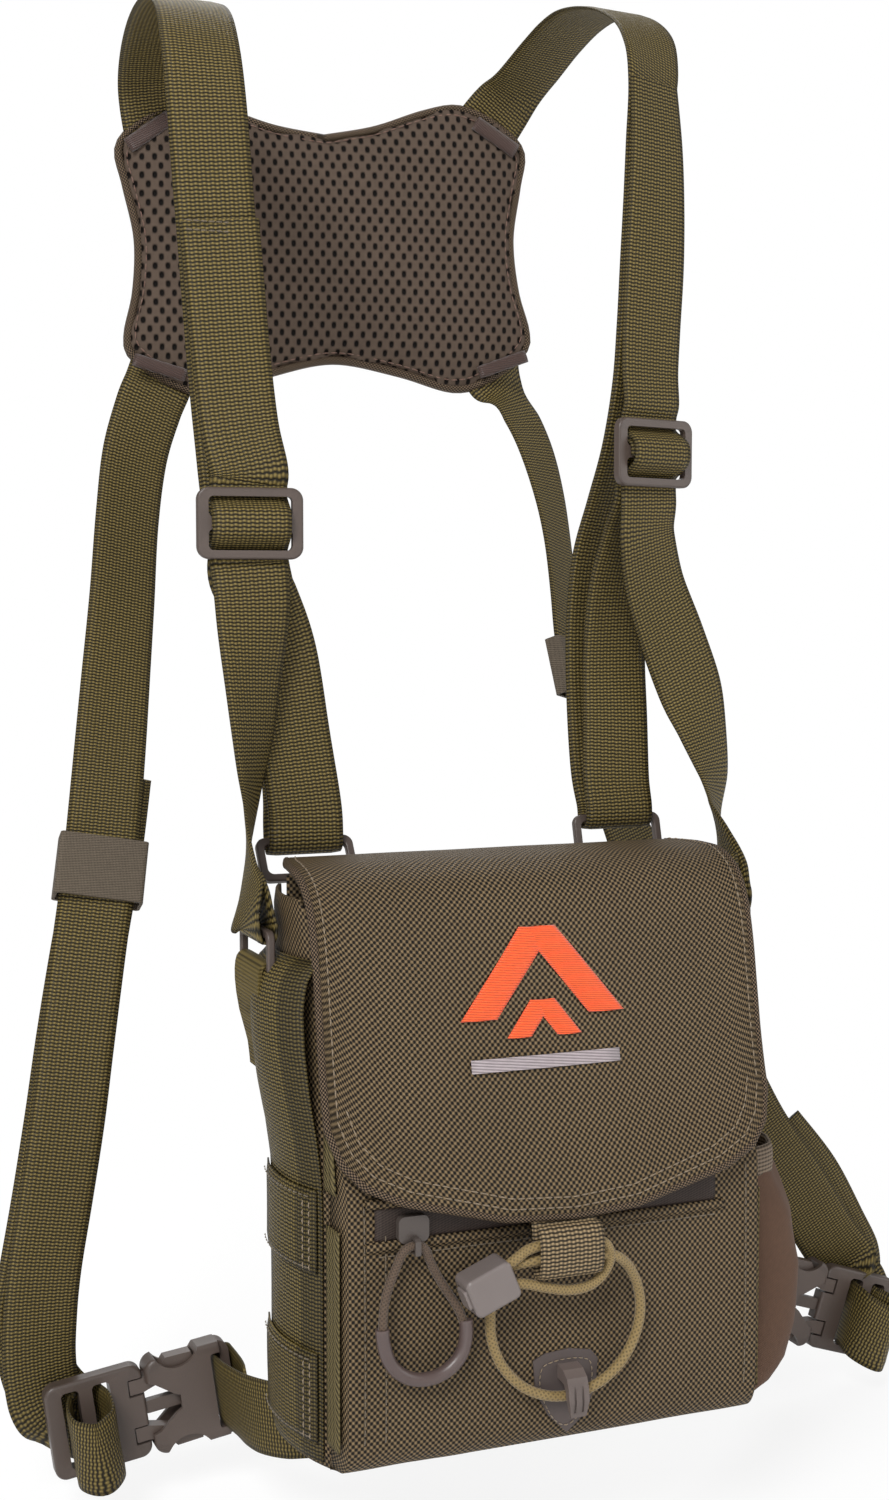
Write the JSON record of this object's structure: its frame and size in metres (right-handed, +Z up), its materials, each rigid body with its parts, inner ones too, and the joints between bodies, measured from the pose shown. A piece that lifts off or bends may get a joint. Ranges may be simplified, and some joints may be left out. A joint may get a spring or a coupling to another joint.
{
  "type": "binocular harness pack",
  "caption": "Small flap-lid chest case on a webbing shoulder harness with a padded mesh back yoke, corded lid closure, zipped front pocket and side-release buckles.",
  "frame": {"origin": "centre of the chest face, the padded face of the case that rests on the wearer", "axes": "+Y towards the wearer, +Z up, +X to the right of someone looking at the case's front"},
  "size_m": [0.3564, 0.2245, 0.5121],
  "materials": {
    "elastic": "woven elastic",
    "emblem_thread": "satin-stitched thread",
    "foam": "closed-cell foam",
    "grip_tube": "satin moulded tube",
    "hardware": "satin moulded nylon",
    "hook_plastic": "satin moulded nylon",
    "lining_cloth": "plain woven lining",
    "pack_cloth": "coarse basket-weave nylon",
    "patch_cloth": "folded nylon cloth",
    "pocket_rib": "ribbed knitted binding",
    "pocket_stretch": "stretch woven nylon",
    "pull_cord": "braided cord",
    "shock_cord": "braided elastic cord",
    "spacer_mesh": "knitted spacer mesh with staggered holes",
    "spring_steel": "wire",
    "webbing": "ribbed woven nylon",
    "zip_coated": "coated zip tape",
    "zip_metal": "satin enamel"
  },
  "bodies": {
    "pack": {"adjust_strap_left": "webbing", "adjust_strap_right": "webbing", "back_panel": "pack_cloth", "bottom_panel": "pack_cloth", "buckle_socket_left": "hardware", "buckle_socket_right": "hardware", "buckle_strap_left": "webbing", "buckle_strap_right": "webbing", "chest_pad": "spacer_mesh", "front_panel": "pack_cloth", "gear_hook": "hook_plastic", "hook_patch": "patch_cloth", "left_gusset": "pack_cloth", "pocket_face": "pack_cloth", "pocket_gusset": "pack_cloth", "rear_strap_left": "webbing", "rear_strap_right": "webbing", "right_gusset": "pack_cloth", "ring_tab_left": "webbing", "ring_tab_right": "webbing", "shoulder_strap_left": "webbing", "shoulder_strap_right": "webbing", "side_loop_left": "webbing", "side_loop_right": "webbing", "side_pocket_binding": "pocket_rib", "side_pocket_right": "pocket_stretch", "side_webbing_left": "webbing", "side_webbing_right": "webbing", "webbing_band_lower_left": "webbing", "webbing_band_upper_left": "webbing", "yoke_backing": "pack_cloth", "yoke_foam": "foam", "yoke_mesh": "spacer_mesh", "zip_coil": "zip_coated", "zip_tape": "zip_coated"},
    "lid": {"lid_shell": "pack_cloth", "lid_lining": "lining_cloth", "lid_tab": "webbing", "lid_emblem": "emblem_thread"},
    "cord_loop": {"shock_cord": "shock_cord"},
    "cord_lock": {"cord_lock_barrel": "hook_plastic", "cord_lock_spring": "spring_steel"},
    "lock_plunger": {"cord_lock_plunger": "hook_plastic"},
    "zip_runner": {"zip_slider": "zip_metal"},
    "zip_pull": {"pull_cord": "pull_cord", "pull_grip": "grip_tube"},
    "glide_left": {"triglide_left": "hardware"},
    "glide_right": {"triglide_right": "hardware"},
    "elastic_left": {"keeper_left": "elastic"},
    "elastic_right": {"keeper_right": "elastic"},
    "shoulder_ring_left": {"top_ring_left": "hardware"},
    "shoulder_ring_right": {"top_ring_right": "hardware"},
    "hip_ring_left": {"side_ring_left": "hardware"},
    "hip_ring_right": {"side_ring_right": "hardware"},
    "plug_left": {"buckle_frame_left": "hardware"},
    "plug_right": {"buckle_frame_right": "hardware"},
    "plug_left_upper_prong": {"prong_left_upper": "hardware"},
    "plug_left_lower_prong": {"prong_left_lower": "hardware"},
    "plug_right_upper_prong": {"prong_right_upper": "hardware"},
    "plug_right_lower_prong": {"prong_right_lower": "hardware"}
  },
  "joints": [
    {"name": "lid_hinge", "type": "hinge", "parent": "pack", "child": "lid", "pos_m": [0, -0.0046, 0.09], "axis": [-1, 0, 0], "range_deg": [0, 85], "deforming": ["shock_cord"]},
    {"name": "cord_loop_swing", "type": "hinge", "parent": "lid", "child": "cord_loop", "pos_m": [-0.0034, -0.082, -0.02], "axis": [-1, 0, 0], "range_deg": [0, 45], "deforming": ["shock_cord"]},
    {"name": "cord_lock_slide", "type": "slide", "parent": "cord_loop", "child": "cord_lock", "axis": [0.9272, 0, 0.3746], "range_m": [-0.001, 0.002], "deforming": ["shock_cord"]},
    {"name": "lock_plunger_press", "type": "slide", "parent": "cord_lock", "child": "lock_plunger", "axis": [0.9272, 0, 0.3746], "range_m": [0, 0.0018], "stiffness_N_per_m": 300, "springref_m": -0.0015, "deforming": ["cord_lock_spring"]},
    {"name": "zip_slide", "type": "slide", "parent": "pack", "child": "zip_runner", "axis": [1, 0, 0], "range_m": [0, 0.098], "deforming": ["pull_cord", "shock_cord"]},
    {"name": "zip_pull_swing", "type": "hinge", "parent": "zip_runner", "child": "zip_pull", "pos_m": [-0.0498, -0.075, -0.0159], "axis": [-1, 0, 0], "range_deg": [0, 70], "deforming": ["pull_cord"]},
    {"name": "triglide_slide_left", "type": "slide", "parent": "pack", "child": "glide_left", "axis": [-0.072, -0.004, 0.9974], "range_m": [-0.012, 0.012], "deforming": ["shoulder_strap_left", "adjust_strap_left"]},
    {"name": "triglide_slide_right", "type": "slide", "parent": "pack", "child": "glide_right", "axis": [0.02, 0.02, 0.9996], "range_m": [-0.012, 0.012], "deforming": ["shoulder_strap_right", "adjust_strap_right"]},
    {"name": "keeper_slide_left", "type": "slide", "parent": "pack", "child": "elastic_left", "axis": [0.207, 0.419, 0.8841], "range_m": [-0.008, 0.008]},
    {"name": "keeper_slide_right", "type": "slide", "parent": "pack", "child": "elastic_right", "axis": [-0.05, 0.3699, 0.9277], "range_m": [-0.008, 0.008]},
    {"name": "top_ring_swing_left", "type": "hinge", "parent": "pack", "child": "shoulder_ring_left", "pos_m": [-0.057, 0.0005, 0.084], "axis": [1, 0, 0], "range_deg": [-10, 10], "deforming": ["shoulder_strap_left"]},
    {"name": "top_ring_swing_right", "type": "hinge", "parent": "pack", "child": "shoulder_ring_right", "pos_m": [0.055, 0.0005, 0.086], "axis": [1, 0, 0], "range_deg": [-10, 10], "deforming": ["shoulder_strap_right"]},
    {"name": "side_ring_swing_left", "type": "hinge", "parent": "pack", "child": "hip_ring_left", "pos_m": [-0.0824, -0.024, 0.0605], "axis": [0, 1, 0], "range_deg": [-4, 10], "deforming": ["adjust_strap_left"]},
    {"name": "side_ring_swing_right", "type": "hinge", "parent": "pack", "child": "hip_ring_right", "pos_m": [0.0824, -0.024, 0.0605], "axis": [0, -1, 0], "range_deg": [-4, 10], "deforming": ["adjust_strap_right"]},
    {"name": "buckle_plug_left", "type": "slide", "parent": "pack", "child": "plug_left", "axis": [-0.9903, 0, -0.1392], "range_m": [0, 0.034], "deforming": ["rear_strap_left", "prong_left_upper", "prong_left_lower"]},
    {"name": "prong_left_upper_squeeze", "type": "hinge", "parent": "plug_left", "child": "plug_left_upper_prong", "pos_m": [-0.10946, 0.042, -0.09312], "axis": [0, 1, 0], "range_deg": [0, 6], "stiffness_Nm_per_rad": 0.3, "deforming": ["prong_left_upper"]},
    {"name": "prong_left_lower_squeeze", "type": "hinge", "parent": "plug_left", "child": "plug_left_lower_prong", "pos_m": [-0.10709, 0.042, -0.10995], "axis": [0, -1, 0], "range_deg": [0, 6], "stiffness_Nm_per_rad": 0.3, "deforming": ["prong_left_lower"]},
    {"name": "buckle_plug_right", "type": "slide", "parent": "pack", "child": "plug_right", "axis": [0.9483, 0, -0.3173], "range_m": [0, 0.034], "deforming": ["rear_strap_right", "prong_right_upper", "prong_right_lower"]},
    {"name": "prong_right_upper_squeeze", "type": "hinge", "parent": "plug_right", "child": "plug_right_upper_prong", "pos_m": [0.17267, 0.046, -0.0959], "axis": [0, -1, 0], "range_deg": [0, 6], "stiffness_Nm_per_rad": 0.3, "deforming": ["prong_right_upper"]},
    {"name": "prong_right_lower_squeeze", "type": "hinge", "parent": "plug_right", "child": "plug_right_lower_prong", "pos_m": [0.16728, 0.046, -0.11202], "axis": [0, 1, 0], "range_deg": [0, 6], "stiffness_Nm_per_rad": 0.3, "deforming": ["prong_right_lower"]}
  ],
  "couplings": [
    {"joint": "prong_left_lower_squeeze", "follows": "prong_left_upper_squeeze", "ratio": 1},
    {"joint": "prong_right_lower_squeeze", "follows": "prong_right_upper_squeeze", "ratio": 1}
  ]
}
